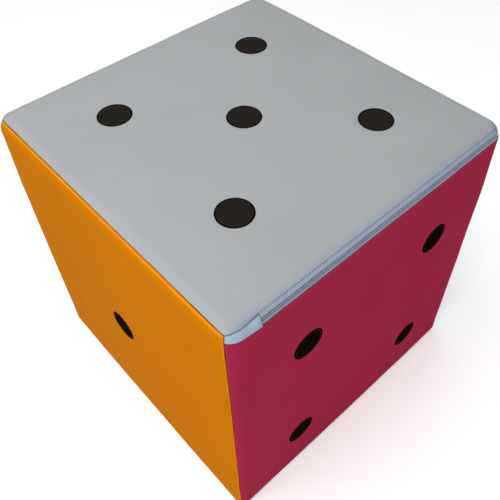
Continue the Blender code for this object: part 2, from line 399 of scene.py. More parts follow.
def new_material(name: str) -> tuple[bpy.types.Material, Recipe, bpy.types.Node, bpy.types.NodeSocket]:
    """Starts a material with a Principled shader.

    Args:
        name: The finish's name.

    Returns:
        The material, its recipe, the shader node and the object coordinates.
    """
    finish = bpy.data.materials.new(name)
    finish.use_nodes = True
    recipe = Recipe(finish.node_tree)
    shader = recipe.add("ShaderNodeBsdfPrincipled")
    output = recipe.add("ShaderNodeOutputMaterial")
    finish.node_tree.links.new(shader.outputs[0], output.inputs["Surface"])
    coordinates = recipe.add("ShaderNodeTexCoord").outputs["Object"]
    return finish, recipe, shader, coordinates


def tinted(recipe: Recipe, colour: tuple, tone: object) -> bpy.types.NodeSocket:
    """Multiplies a colour by a tone and gives the output socket."""
    scaled = recipe.add("ShaderNodeVectorMath", {0: colour, "Scale": tone}, operation="SCALE")
    return scaled.outputs[0]


def blended(recipe: Recipe, share: object, first: object, second: tuple) -> bpy.types.NodeSocket:
    """Mixes two colours by a share and gives the output socket."""
    mix = recipe.add("ShaderNodeMix", data_type="RGBA")
    recipe.tree.links.new(share, mix.inputs[0])
    recipe.tree.links.new(first, mix.inputs[6])
    mix.inputs[7].default_value = (*second, 1.0)
    return mix.outputs[2]


def raise_relief(recipe: Recipe, shader: bpy.types.Node, distance: float, height: bpy.types.NodeSocket) -> None:
    """Gives a shader its small relief.

    Args:
        recipe: The material's recipe.
        shader: The material's shader.
        distance: How high the relief stands.
        height: Its height, from 0 to about 1.
    """
    bump = recipe.add("ShaderNodeBump", {"Strength": 1.0, "Distance": distance, "Height": height})
    recipe.tree.links.new(bump.outputs[0], shader.inputs["Normal"])


@dataclass(frozen=True)
class Leatherette:
    """Coated cloth with a pebbled grain: the panels, the pips and the tabs."""

    name: str
    colour: tuple[float, float, float]
    roughness: float = 0.52
    specular: float = 0.1
    # These weights set the lighter band beside seams, a painted highlight with some rubbing, and the painted
    # shade in seam grooves and under edges.
    rub: float = 0.12
    grime: float = 0.35
    relief: float = 0.00011
    # The colour blended into the lid's rounded zip hem: a painted reflection of the sky light.
    hem_sky_colour: tuple[float, float, float] | None = None

    def material(self, effects: Effects) -> bpy.types.Material:
        """Builds the finish.

        Args:
            effects: The shared node groups.

        Returns:
            The material.
        """
        finish, r, shader, where = new_material(self.name)
        grain = r.add("ShaderNodeGroup", node_tree=effects.grain)
        r.tree.links.new(where, grain.inputs["Coordinates"])
        near = r.add("ShaderNodeAttribute", attribute_name="seam_nearness").outputs["Fac"]
        seam_shading = r.add("ShaderNodeGroup", node_tree=effects.seam)
        r.tree.links.new(where, seam_shading.inputs["Coordinates"])
        r.tree.links.new(near, seam_shading.inputs["Nearness"])
        colour = tinted(r, self.colour, grain.outputs["Tone"])
        # Painted sky reflection on the rounded zip hem, which turns out towards the light.
        if self.hem_sky_colour is not None:
            hem_sky_mask = r.add("ShaderNodeAttribute", attribute_name="hem_nearness").outputs["Fac"]
            colour = blended(r, hem_sky_mask, colour, self.hem_sky_colour)
        # Lighter colour for the painted highlight beside seams.
        light = tuple(min(1.0, c * 1.3 + 0.18 * math.sqrt(c)) for c in self.colour)
        colour = blended(r, r.math("MULTIPLY", seam_shading.outputs["Rub"], self.rub), colour, light)
        # Much deeper colour for the painted shade in seam grooves and under edges.
        shade_colour = tuple(c * 0.28 for c in self.colour)
        colour = blended(r, r.math("MULTIPLY", seam_shading.outputs["Grime"], self.grime), colour, shade_colour)
        r.tree.links.new(colour, shader.inputs["Base Color"])
        r.tree.links.new(r.math("ADD", grain.outputs["Gloss"], self.roughness), shader.inputs["Roughness"])
        raise_relief(r, shader, self.relief, grain.outputs["Height"])
        shader.inputs["Specular IOR Level"].default_value = self.specular
        return finish


@dataclass(frozen=True)
class WovenCloth:
    """A plain woven cloth: the zip's tapes and the cloth backing of the leatherette."""

    name: str
    colour: tuple[float, float, float]
    weave: Weave
    relief: float = 0.00012

    def material(self, effects: Effects) -> bpy.types.Material:
        """Builds the finish.

        Args:
            effects: The shared node groups.

        Returns:
            The material.
        """
        finish, r, shader, where = new_material(self.name)
        weave = r.add("ShaderNodeGroup", node_tree=effects.weave)
        r.tree.links.new(where, weave.inputs["Coordinates"])
        weave.inputs["Threads"].default_value = self.weave.value
        r.tree.links.new(tinted(r, self.colour, weave.outputs["Tone"]), shader.inputs["Base Color"])
        raise_relief(r, shader, self.relief, weave.outputs["Height"])
        r.tree.links.new(r.span(weave.outputs["Height"], 0.0, 1.5, 0.9, 0.78), shader.inputs["Roughness"])
        shader.inputs["Sheen Weight"].default_value = 0.15
        return finish


@dataclass(frozen=True)
class CutFoam:
    """Open-cell foam with a cut face."""

    name: str
    colour: tuple[float, float, float]
    relief: float = 0.00025

    def material(self, effects: Effects) -> bpy.types.Material:
        """Builds the finish.

        Args:
            effects: The shared node groups.

        Returns:
            The material.
        """
        finish, r, shader, where = new_material(self.name)
        cells = r.add("ShaderNodeGroup", node_tree=effects.cells)
        r.tree.links.new(where, cells.inputs["Coordinates"])
        r.tree.links.new(tinted(r, self.colour, cells.outputs["Tone"]), shader.inputs["Base Color"])
        raise_relief(r, shader, self.relief, cells.outputs["Height"])
        r.tree.links.new(r.span(cells.outputs["Height"], 0.0, 1.5, 0.98, 0.88), shader.inputs["Roughness"])
        return finish


@dataclass(frozen=True)
class Moulded:
    """A small smooth part: nylon teeth, sewing thread or cast zinc."""

    name: str
    colour: tuple[float, float, float]
    roughness: float
    metallic: float = 0.0
    relief: float = 0.00003
    specular: float = 0.5

    def material(self, effects: Effects) -> bpy.types.Material:
        """Builds the finish.

        Args:
            effects: The shared node groups.

        Returns:
            The material.
        """
        finish, r, shader, where = new_material(self.name)
        fine = r.noise(where, 1600.0, 3.0, 0.6)
        patches = r.noise(where, 260.0, 2.0, 0.5)
        colour = tinted(r, self.colour, r.span(patches, 0.3, 0.7, 0.88, 1.08))
        r.tree.links.new(colour, shader.inputs["Base Color"])
        low, high = self.roughness - 0.06, self.roughness + 0.08
        r.tree.links.new(r.span(fine, 0.3, 0.7, low, high), shader.inputs["Roughness"])
        raise_relief(r, shader, self.relief, fine)
        shader.inputs["Metallic"].default_value = self.metallic
        shader.inputs["Specular IOR Level"].default_value = self.specular
        return finish


@dataclass
class Palette:
    """Every finish of the die, by its part."""

    effects: Effects = field(default_factory=Effects)
    made: dict[str, bpy.types.Material] = field(default_factory=dict)

    def add(self, finish: Leatherette | WovenCloth | CutFoam | Moulded) -> None:
        """Builds one finish and keeps it under its name."""
        self.made[finish.name] = finish.material(self.effects)

    def __getitem__(self, name: str) -> bpy.types.Material:
        """Gives the finish of that name."""
        return self.made[name]


def build_palette() -> Palette:
    """Makes the finishes.

    Returns:
        The palette.
    """
    palette = Palette()
    for finish in (
        # The lid is grey; the blue on its zip hem is a painted reflection of the sky.
        Leatherette(
            "top_leatherette", (0.303, 0.317, 0.324), specular=0.07, rub=0.03, hem_sky_colour=(0.255, 0.300, 0.374),
        ),
        # The orange side, and less so the magenta side, get a painted highlight beside their seams, where the
        # rounded edge turns to the light.
        Leatherette("left_leatherette", (0.468, 0.146, 0.0017), roughness=0.55, specular=0.001, rub=1.0),
        Leatherette("front_leatherette", (0.294, 0.0182, 0.0492), roughness=0.55, specular=0.001, rub=0.35),
        Leatherette("right_leatherette", (0.285, 0.365, 0.490), specular=0.04),
        Leatherette("back_leatherette", (0.115, 0.230, 0.038), specular=0.03),
        Leatherette("bottom_leatherette", (0.085, 0.042, 0.160), specular=0.03),
        Leatherette(
            "pip_leatherette", (0.0135, 0.0113, 0.0092), 0.42, 0.012, rub=0.0, grime=0.95, relief=0.00016,
        ),
        # The pips that don't face up get a darker copy of the pip finish: painted shade, as they are lit less.
        Leatherette(
            "side_pip_leatherette", (0.0034, 0.0024, 0.0019), 0.5, 0.0002, rub=0.0, grime=0.95, relief=0.00016,
        ),
        Leatherette(
            "tab_leatherette", (0.283, 0.350, 0.434), roughness=0.5, specular=0.03, rub=0.0, grime=0.9,
        ),
        WovenCloth("zip_tape", (0.255, 0.310, 0.420), Weave.TAPE),
        WovenCloth("cloth_backing", (0.560, 0.545, 0.510), Weave.BACKING),
        # The seam allowances are near black: painted shade for the seam grooves, where the strips show through
        # the gaps.
        WovenCloth("seam_allowance", (0.055, 0.050, 0.055), Weave.BACKING),
        CutFoam("foam", (0.780, 0.700, 0.480)),
        Moulded("zip_coil", (0.275, 0.345, 0.465), 0.45, specular=0.2),
        Moulded("pale_thread", (0.135, 0.162, 0.215), 0.6, specular=0.1),
        Moulded("black_thread", (0.034, 0.032, 0.027), 0.7, specular=0.02),
        Moulded("zip_metal", (0.560, 0.560, 0.570), 0.3, metallic=1.0),
    ):
        palette.add(finish)
    return palette


# --------------------------------------------------------------------------------------------------
# The die's shape


@dataclass(frozen=True)
class Rounding:
    """How one level edge, top or bottom, is rounded."""

    radius: float
    corner: float

    @property
    def flat(self) -> float:
        """Half the straight length of the edge, between its corners."""
        return DIE_HALF - self.corner

    def section(self, angle: float, depth: float) -> tuple[float, float]:
        """Gives a point of the edge's section.

        Args:
            angle: From the face's own direction towards the outside.
            depth: How far under the surface.

        Returns:
            The inset from the side's plane, and the drop from the face's plane.
        """
        reach = self.radius - depth
        return self.radius - reach * math.sin(angle), self.radius - reach * math.cos(angle)


DIE_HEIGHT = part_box("top_panel")[1].z
DIE_HALF = DIE_HEIGHT / 2
DIE_CENTRE = Vector((0.0, 0.0, DIE_HALF))
TOP_EDGE = Rounding(18.0 * MM, 20.0 * MM)
BOTTOM_EDGE = Rounding(8.0 * MM, 9.5 * MM)
SEAM_ANGLE = math.radians(45)
HINGE_SEAM_ANGLE = math.radians(40)
HEM_ANGLE = math.radians(57)
ZIP_ANGLE = math.radians(58.5)
SIDE_HEM_ANGLE = math.radians(79.5)
STITCH_ANGLE = HEM_ANGLE - math.radians(16)
TAPE_STITCH_ANGLE = math.radians(67)
MITRE_SHARPNESS = 1.35
GATHER_DEPTH = 0.42 * MM
GATHER_REACH = 8 * MM
FOLD_DEPTH = 0.5 * MM
FOLD_REACH = 0.12
DIMPLE_INSIDE = 17.5 * MM
DIMPLE_OUTSIDE = 24 * MM
TAB_REACH = 41.0 * MM
"""How far the tab over the zip's end reaches from the die's side."""


def mitred(angle: float, swing: float) -> float:
    """Gives where a level seam runs as it dips to a pointed corner.

    Args:
        angle: Where it runs on the straight edge.
        swing: How far round the corner it has gone, in plan.

    Returns:
        The angle in the edge's section there.
    """
    sharpness = MITRE_SHARPNESS if angle < SEAM_ANGLE else 1.0
    return math.atan(math.tan(angle) / max(math.cos(swing), math.sin(swing)) ** sharpness)


def corner_radius(height: float) -> float:
    """Gives the plan radius of the upright edges at a height: largest under the lid, small at the floor."""
    steps = ((0.0, 9.5), (0.05, 13.5), (0.12, 14.5), (0.30, 15.0), (0.374, 20.0), (0.41, 20.0))
    for (low, first), (high, second) in zip(steps, steps[1:]):
        if height <= high:
            return (first + (second - first) * smoothstep(low, high, height)) * MM
    return steps[-1][1] * MM


@dataclass(frozen=True)
class StuffedBag:
    """The sewn cover as one closed bag, blown up by a cloth simulation to find where it swells.

    Only the pattern of the swelling is simulated. Its amount is set by the largest shift.
    """

    rounding: float = 16.0 * MM
    voxel: float = 8.0 * MM
    pressure: float = 4.0
    frames: int = 20
    largest_shift: float = 2.2 * MM

    def simulate(self) -> tuple[kdtree.KDTree, list[Vector]]:
        """Runs the simulation.

        Returns:
            A search tree of the bag's points at rest, and the scaled shift of each.
        """
        bm = bmesh.new()
        shape = Matrix.Translation(DIE_CENTRE) @ Matrix.Scale(DIE_HEIGHT, 4)
        bmesh.ops.create_cube(bm, size=1.0, matrix=shape)
        bmesh.ops.bevel(
            bm, geom=bm.edges[:], offset=self.rounding, segments=3, profile=0.5, affect="EDGES", material=-1,
        )
        bag = to_object("stuffed_bag", bm, ())
        remesh = bag.modifiers.new("even_cells", "REMESH")
        remesh.mode, remesh.voxel_size = "VOXEL", self.voxel
        bag.data = self.evaluated(bag)
        bag.modifiers.clear()
        rest = [v.co.copy() for v in bag.data.vertices]
        cloth = bag.modifiers.new("cloth", "CLOTH")
        cloth.settings.use_pressure = True
        cloth.settings.uniform_pressure_force = self.pressure
        cloth.settings.effector_weights.gravity = 0.0
        cloth.settings.quality = 4
        cloth.point_cache.frame_start, cloth.point_cache.frame_end = 1, self.frames
        for step in range(1, self.frames + 1):
            bpy.context.scene.frame_set(step)
        blown = self.evaluated(bag)
        shifts = [v.co - place for v, place in zip(blown.vertices, rest)]
        bpy.data.objects.remove(bag)
        bpy.data.meshes.remove(blown)
        bpy.context.scene.frame_set(1)
        drift = sum(shifts, Vector()) / len(shifts)
        shifts = [shift - drift for shift in shifts]
        scale = self.largest_shift / max(shift.length for shift in shifts)
        tree = kdtree.KDTree(len(rest))
        for index, place in enumerate(rest):
            tree.insert(place, index)
        tree.balance()
        return tree, [shift * scale for shift in shifts]

    @staticmethod
    def evaluated(piece: bpy.types.Object) -> bpy.types.Mesh:
        """Gives a copy of a piece's mesh with its modifiers applied."""
        depsgraph = bpy.context.evaluated_depsgraph_get()
        return bpy.data.meshes.new_from_object(piece.evaluated_get(depsgraph))


@dataclass
class Fullness:
    """How the stuffed cover swells between its seams and settles in soft waves."""

    swell: float = 3.0 * MM
    press: float = 1.0 * MM
    slack: float = 0.55
    wave: float = 0.45 * MM
    dimple: float = 0.7 * MM
    edge_firmness: float = 0.39
    smoothing: float = 26 * MM
    broad_waves: float = 9.0
    fine_waves: float = 26.0
    fine_share: float = 0.35
    pips: list[tuple[Vector, Vector]] = field(default_factory=list)
    tree: kdtree.KDTree | None = None
    shifts: list[Vector] = field(default_factory=list)

    def crown(self, place: Vector) -> Vector:
        """Gives a quick stand-in for the simulated swelling at a place, as a shift."""
        local = (place - DIE_CENTRE) / DIE_HALF
        falls = [1 - 0.5 * min(1.0, abs(c)) ** 4 for c in local]
        shares = (falls[1] * falls[2], falls[0] * falls[2], falls[0] * falls[1])
        return Vector(self.swell * c * (share - 0.25) for c, share in zip(local, shares))

    def foam_push(self, place: Vector) -> Vector:
        """Gives how far the foam presses the cover out at a place, most along the middles of the edges."""
        local = (place - DIE_CENTRE) / DIE_HALF
        squares = [min(1.0, c * c) for c in local]
        shift = Vector()
        for axis in range(3):
            first, second = squares[(axis + 1) % 3], squares[(axis + 2) % 3]
            firm = 1 + self.edge_firmness * (1 - (1 - first) * (1 - second))
            shift[axis] = self.press * local[axis] * firm * (1 - first * second)
        return shift

    def simulated(self, place: Vector) -> Vector:
        """Gives the simulated bag's shift near a place."""
        total, weight = Vector(), 0.0
        for _, index, distance in self.tree.find_range(place, self.smoothing):
            share = (1 - (distance / self.smoothing) ** 2) ** 2
            total += self.shifts[index] * share
            weight += share
        blown = total / weight if weight else Vector()
        return blown * self.slack + self.foam_push(place)

    def settled(self, place: Vector) -> Vector:
        """Moves a point of the cover, or of anything sewn to it, to where it lies on the stuffed die.

        Args:
            place: The point on the plain rounded cube.

        Returns:
            The point on the stuffed die.
        """
        shift = self.crown(place) if self.tree is None else self.simulated(place)
        ripple = noise.noise_vector(place * self.broad_waves) * self.wave
        ripple += noise.noise_vector(place * self.fine_waves) * self.wave * self.fine_share
        lift = smoothstep(0.0, 0.03, place.z)
        shift = shift + ripple
        shift.z *= lift if place.z < DIE_HALF else 1.0
        return place + shift


def pucker(along: float, distance: float, seed: float) -> float:
    """Gives the depth of the small gathers beside a sewn seam.

    Args:
        along: The place along the seam.
        distance: The distance from the seam.
        seed: Tells seams apart.

    Returns:
        A depth under the plain surface.
    """
    gathers = noise.noise(Vector((along / 0.013, seed, 0.3)))
    gathers += 0.5 * noise.noise(Vector((along / 0.006, seed, 7.1)))
    return GATHER_DEPTH * gathers * math.exp(-distance / GATHER_REACH)


def rolled(distance: float, radius: float) -> float:
    """Gives how deep a panel has turned in at a distance from its sewn or folded border."""
    if distance >= radius:
        return 0.0
    return radius - math.sqrt(max(0.0, radius ** 2 - (radius - distance) ** 2))


def corner_folds(place: Vector) -> float:
    """Gives the depth of the soft folds that fan out from the sewn corners, where the cover pulls tight."""
    depth = 0.0
    for side in (-1, 1):
        for top in (0.0, DIE_HEIGHT):
            offset = place - Vector((-DIE_HALF, side * DIE_HALF, top))
            reach = offset.length
            if reach > FOLD_REACH:
                continue
            fan = math.atan2(abs(offset.z), abs(offset.x) + abs(offset.y))
            fade = smoothstep(0.010, 0.028, reach) * (1 - smoothstep(0.04, FOLD_REACH, reach))
            depth += FOLD_DEPTH * fade * noise.noise(Vector((fan * 5.5, side * 3.1, top * 20 + reach * 6)))
    return depth


@dataclass(frozen=True)
class TopPath:
    """The path of the zip: the front edge, a corner, the right edge, a corner, and the back edge."""

    edge: Rounding = TOP_EDGE
    turn_radius: float = 17.0 * MM

    @property
    def leg_length(self) -> float:
        """Length of one straight edge with the corner after it."""
        return 2 * self.edge.flat + self.turn_radius * math.pi / 2

    @property
    def end(self) -> float:
        """Length of the path from the front edge's start to the back edge's end."""
        return 2 * self.leg_length + 2 * self.edge.flat

    def frame_at(self, distance: float, angle: float, depth: float) -> tuple[Vector, Vector, Vector]:
        """Gives a place beside the path.

        Args:
            distance: Along the path, from where the front edge starts to run straight.
            angle: In the edge's section.
            depth: Under the surface.

        Returns:
            The place, the direction of the path, and the direction out of the surface.
        """
        leg = math.floor(distance / self.leg_length)
        local = distance - leg * self.leg_length
        inset, drop = self.edge.section(angle, depth)
        radius = self.edge.corner - inset
        flat = self.edge.flat
        turned = max(0.0, local - 2 * flat) / self.turn_radius
        middle = Vector((min(local, 2 * flat) - flat, -flat, 0.0))
        out = Vector((math.sin(turned), -math.cos(turned), 0.0))
        spot = middle + out * radius
        turn = Matrix.Rotation(leg * math.pi / 2, 3, "Z")
        place = turn @ spot
        place.z = DIE_HEIGHT - drop
        level_out = turn @ out
        along = Vector((-level_out.y, level_out.x, 0.0))
        facing = level_out * math.sin(angle) + Vector((0, 0, math.cos(angle)))
        return place, along, facing

    def stations(self, start: float, end: float, step: float = 5.0 * MM) -> list[float]:
        """Gives distances along the path, closer together in the corners."""
        marks = [start]
        while marks[-1] < end - 1e-6:
            local = marks[-1] % self.leg_length
            on_turn = local >= 2 * self.edge.flat - 1e-6
            limit = self.leg_length if on_turn else 2 * self.edge.flat
            stride = min(step / 4 if on_turn else step, max(limit - local, 1e-4), end - marks[-1])
            marks.append(marks[-1] + stride)
        return marks


# --------------------------------------------------------------------------------------------------
# Cover panels


def set_point_values(piece: bpy.types.Object, name: str, values: list[float]) -> None:
    """Stores one number per point on a mesh."""
    layer = piece.data.attributes.new(name, "FLOAT", "POINT")
    layer.data.foreach_set("value", values)


@dataclass
class CapPanel:
    """The top or the bottom panel: a square that turns down over its edges to a level seam or hem."""

    name: str
    finish: str
    edge: Rounding
    fullness: Fullness
    is_lid: bool
    flat_rings: int = 60
    turning_rings: int = 8
    thickness: float = 1.2 * MM
    roll: float = 0.85 * MM
    hem_roll: float = 0.45 * MM
    gap: float = 0.12 * MM
    wall: float = 1.1 * MM
    groove_depth: float = 0.32 * MM
    groove_width: float = 0.45 * MM
    hem_calm: float = 0.75
    # How much of the painted seam shade and highlight is left out along the zip hem.
    hem_shading_cut: float = 0.85
    # Where the painted sky reflection on the hem starts and reaches full strength.
    sky_tint_start: float = math.radians(12)
    sky_tint_end: float = math.radians(47)
    rim_radius: float = 0.0127
    pips: list[Vector] = field(default_factory=list)

    def border_angle(self, leg: Leg, turned: float, swing: float) -> tuple[float, float]:
        """Gives where the panel ends at a place on its rim.

        Args:
            leg: The side.
            turned: From -1 to 1 along the side, with the corners at both ends.
            swing: How far round the corner the place is.

        Returns:
            The border's angle, and 1 where it is a zip hem or 0 where it is a seam.
        """
        if not self.is_lid:
            return SEAM_ANGLE, 0.0
        seam = mitred(HINGE_SEAM_ANGLE, swing)
        if leg == Leg.LEFT:
            return seam, 0.0
        hemmed = 1.0
        if leg == Leg.FRONT:
            hemmed = smoothstep(-1.0, -0.97, turned)
        if leg == Leg.BACK:
            hemmed = 1 - smoothstep(0.97, 1.0, turned)
        return seam + (HEM_ANGLE - seam) * hemmed, hemmed

    def build(self, palette: Palette) -> bpy.types.Object:
        """Builds the panel.

        Args:
            palette: The finishes.

        Returns:
            The panel, thickened and dressed.
        """
        border = len(BORDER_STEPS_MM) + 1
        half = self.flat_rings + self.turning_rings + border
        share_straight = self.edge.flat / (self.edge.flat + self.rim_radius * math.pi / 4)
        near: dict[tuple[int, int], tuple[float, float]] = {}

        facing = Vector((0, 0, 1 if self.is_lid else -1))
        self.pips = [middle for middle, look in self.fullness.pips if look == facing]

        def place(column: int, row: int) -> Vector:
            """Places one point of the square grid on the panel."""
            i, j = column - half, row - half
            ring = max(abs(i), abs(j))
            if ring == 0:
                near[(column, row)] = (0.0, 0.0)
                return self.finished(Vector((0, 0, DIE_HEIGHT)))
            if j == -ring:
                leg, turned = Leg.FRONT, i / ring
            elif i == ring:
                leg, turned = Leg.RIGHT, j / ring
            elif j == ring:
                leg, turned = Leg.BACK, -i / ring
            else:
                leg, turned = Leg.LEFT, -j / ring
            swing = max(0.0, (abs(turned) - share_straight) / (1 - share_straight)) * math.pi / 4
            angle_end, hemmed = self.border_angle(leg, turned, swing)
            arc = self.edge.radius * angle_end - self.gap
            squeeze = min(1.0, 0.9 * arc / (BORDER_STEPS_MM[-1] * MM))
            step = half - ring
            scale, depth, distance = 1.0, 0.0, 1.0
            if step < border:
                distance = BORDER_STEPS_MM[max(0, step - 1)] * MM * squeeze
                angle = (arc - distance) / self.edge.radius
                radius = self.roll + (self.hem_roll - self.roll) * hemmed
                depth = rolled(distance, radius)
                along = (leg + turned / 2) * DIE_HEIGHT
                if step == 0:
                    depth += self.wall * (1 - self.hem_calm * hemmed)
                else:
                    gathers = pucker(along, distance, 3.0 if self.is_lid else 9.0)
                    depth += gathers * (1 - self.hem_calm * hemmed)
                stitch_line = self.edge.radius * (angle_end - STITCH_ANGLE)
                if hemmed > 0:
                    groove = math.exp(-(((distance - stitch_line) / self.groove_width) ** 2))
                    depth += self.groove_depth * hemmed * groove
            elif step < border + self.turning_rings:
                last = BORDER_STEPS_MM[-1] * MM * squeeze
                share = 1 - (step - border + 1) / (self.turning_rings + 1)
                distance = arc - (arc - last) * share
                angle = (arc - last) / self.edge.radius * share
                gathers = pucker((leg + turned / 2) * DIE_HEIGHT, distance, 3.0 if self.is_lid else 9.0)
                depth = gathers * share ** 2 * (1 - self.hem_calm * hemmed)
            else:
                angle, scale = 0.0, ring / self.flat_rings
            inset, drop = self.edge.section(angle, depth)
            flat = self.edge.flat * scale
            radius = (self.edge.corner - inset) * scale
            side = math.copysign(1.0, turned)
            x = side * min(abs(turned) / share_straight, 1.0) * flat
            spot = Vector((x + side * math.sin(swing) * radius, -flat - math.cos(swing) * radius, 0))
            spot = Matrix.Rotation(leg * math.pi / 2, 3, "Z") @ spot
            spot.z = DIE_HEIGHT - drop
            # Painted sky reflection, growing as the hem turns outwards.
            sky_tint_share = hemmed * smoothstep(self.sky_tint_start, self.sky_tint_end, angle)
            # The nearness drives the painted seam shade and highlight; along the zip hem both are mostly left
            # out.
            shading_kept = 1 - self.hem_shading_cut * hemmed
            nearness = math.exp(-distance / (6 * MM)) * shading_kept if distance < 1.0 else 0.0
            near[(column, row)] = (nearness, sky_tint_share)
            return self.finished(spot)

        bm = mapped_grid(2 * half, 2 * half, place)
        order = [near[key] for key in self.grid_order(half)]
        piece = to_object(self.name, bm, (palette[self.finish], palette["cloth_backing"]))
        set_point_values(piece, "seam_nearness", [n for n, _ in order])
        set_point_values(piece, "hem_nearness", [t for _, t in order])
        thicken(piece, self.thickness, 1)
        return piece

    @staticmethod
    def grid_order(half: int) -> list[tuple[int, int]]:
        """Gives the column and row of each point of a grid, in the grid's own order."""
        size = 2 * half + 1
        return [(i % size, i // size) for i in range(size * size)]

    def finished(self, spot: Vector) -> Vector:
        """Turns a point of the upward cap the right way up for this panel, and settles it."""
        if not self.is_lid:
            spot = Vector((spot.y, spot.x, DIE_HEIGHT - spot.z))
        return pressed(self.fullness, spot, self.pips, Vector((0, 0, 1 if self.is_lid else -1)))


def pressed(fullness: Fullness, spot: Vector, pips: list[Vector], facing: Vector) -> Vector:
    """Presses a panel's point in under the pips, and settles it.

    Args:
        fullness: The stuffed die's shape.
        spot: The point on the plain rounded cube.
        pips: The middles of the panel's pips.
        facing: The way that the panel looks.

    Returns:
        The point on the stuffed die.
    """
    moved = spot - facing * corner_folds(spot)
    for middle in pips:
        reach = (spot - middle).length
        if reach < DIMPLE_OUTSIDE:
            moved -= facing * fullness.dimple * (1 - smoothstep(DIMPLE_INSIDE, DIMPLE_OUTSIDE, reach))
    return fullness.settled(moved)


@dataclass
class SidePanel:
    """An upright panel, sewn to its neighbours at the corners, with a seam or a zip hem along its top."""

    name: str
    finish: str
    leg: Leg
    fullness: Fullness
    start_angle: float = math.radians(45)
    end_angle: float = math.radians(45)
    flat_columns: int = 116
    turning_columns: int = 4
    middle_rows: int = 118
    thickness: float = 1.2 * MM
    roll: float = 1.4 * MM
    top_roll: float = 0.85 * MM
    hem_roll: float = 0.35 * MM
    gap: float = 0.12 * MM
    wall: float = 1.1 * MM
    hem_calm: float = 0.8
    corner_stretch: float = 0.085
    level_fade: float = 6 * MM
    upright_fade: float = 2.2 * MM

    def top_angle(self, x: float, swing: float) -> tuple[float, float]:
        """Gives where the panel ends at its top.

        Args:
            x: From -1 to 1 along the side, with the corners at both ends.
            swing: How far round the corner the place is.

        Returns:
            The border's angle, and 1 where it is a zip hem or 0 where it is a seam.
        """
        seam = mitred(HINGE_SEAM_ANGLE, swing)
        if self.leg == Leg.LEFT:
            return seam, 0.0
        hemmed = 1.0
        if self.leg == Leg.FRONT:
            hemmed = smoothstep(-0.965, -0.90, x)
        if self.leg == Leg.BACK:
            hemmed = 1 - smoothstep(0.90, 0.965, x)
        under_hem = HEM_ANGLE + math.radians(0.6)
        if swing < SEAM_ANGLE:
            corner = mitred(HINGE_SEAM_ANGLE, SEAM_ANGLE)
            seam = under_hem + (corner - under_hem) * swing / SEAM_ANGLE
        return seam + (SIDE_HEM_ANGLE - seam) * hemmed, hemmed

    def columns(self) -> list[tuple[float, float, float]]:
        """Gives the upright rows of points.

        Returns:
            For each one, the share of the straight part, the angle round the corner, and the distance from
            the seam.
        """
        made = []
        reference = 15 * MM
        for sign, seam in ((-1, self.start_angle), (1, self.end_angle)):
            arc = reference * seam - self.gap
            steps = [0.0] + [s * MM for s in BORDER_STEPS_MM]
            side = [(sign, (arc - s) / reference, s if i else -1.0) for i, s in enumerate(steps)]
            last = side[-1][1]
            for i in range(1, self.turning_columns + 1):
                angle = last * (1 - i / self.turning_columns)
                side.append((sign, angle, arc - angle * reference))
            made.append(side)
        first, second = made
        inner = [(-1 + 2 * i / self.flat_columns, 0.0, 1.0) for i in range(1, self.flat_columns)]
        return first + inner + second[::-1]

    def build(self, palette: Palette) -> bpy.types.Object:
        """Builds the panel.

        Args:
            palette: The finishes.

        Returns:
            The panel, thickened and dressed.
        """
        columns = self.columns()
        steps = [-1.0] + [s * MM for s in BORDER_STEPS_MM]
        border = len(steps)
        rows = 2 * border + self.middle_rows
        near: dict[tuple[int, int], float] = {}
        turn = Matrix.Rotation(self.leg * math.pi / 2, 3, "Z")
        bottom_arc = BOTTOM_EDGE.radius * (math.pi / 2 - SEAM_ANGLE)
        upright = DIE_HEIGHT - TOP_EDGE.radius - BOTTOM_EDGE.radius
        facing = turn @ Vector((0, -1, 0))
        pips = [middle for middle, look in self.fullness.pips if (look - facing).length < 0.01]

        def place(column: int, row: int) -> Vector:
            """Places one point of the grid on the panel."""
            share, swing, side_distance = columns[column]
            lengthwise = share + math.copysign(swing * self.corner_stretch, share)
            angle_end, hemmed = self.top_angle(lengthwise, swing)
            total = bottom_arc + upright + TOP_EDGE.radius * (math.pi / 2 - angle_end) - 2 * self.gap
            level_distance = 1.0
            if row < border:
                level_distance = steps[row]
                climbed = max(0.0, level_distance)
            elif row > rows - border:
                level_distance = steps[rows - row]
                climbed = total - max(0.0, level_distance)
            else:
                last = steps[-1]
                climbed = last + (total - 2 * last) * (row - border + 1) / (rows - 2 * border + 2)
            climbed += self.gap
            top_side = climbed > total / 2
            sewn = self.top_roll if top_side else self.roll
            radius_top = sewn + (self.hem_roll - sewn) * (hemmed if top_side else 0.0)
            depth = max(self.turned_in(level_distance, radius_top), self.turned_in(side_distance, self.roll))
            soft = 1 - self.hem_calm * hemmed if top_side else 1.0
            if level_distance < 0.5:
                depth += pucker(share, max(0, level_distance), 21.0 + self.leg) * soft
            if side_distance < 0.5:
                corner = self.leg + (1 if share > 0 else 0)
                depth += pucker(climbed, max(0, side_distance), 40.0 + corner) * 0.6
            if climbed < bottom_arc:
                angle = SEAM_ANGLE + climbed / BOTTOM_EDGE.radius
                inset, rise = BOTTOM_EDGE.section(angle, depth)
                height = rise
            elif climbed < bottom_arc + upright:
                inset, height = depth, BOTTOM_EDGE.radius + climbed - bottom_arc
            else:
                angle = math.pi / 2 - (climbed - bottom_arc - upright) / TOP_EDGE.radius
                inset, drop = TOP_EDGE.section(angle, depth)
                height = DIE_HEIGHT - drop
            corner_size = corner_radius(height)
            flat = DIE_HALF - corner_size
            radius = corner_size - inset
            side = math.copysign(1.0, share)
            x = share * flat + side * math.sin(swing) * radius
            spot = turn @ Vector((x, -flat - math.cos(swing) * radius, 0))
            spot.z = height
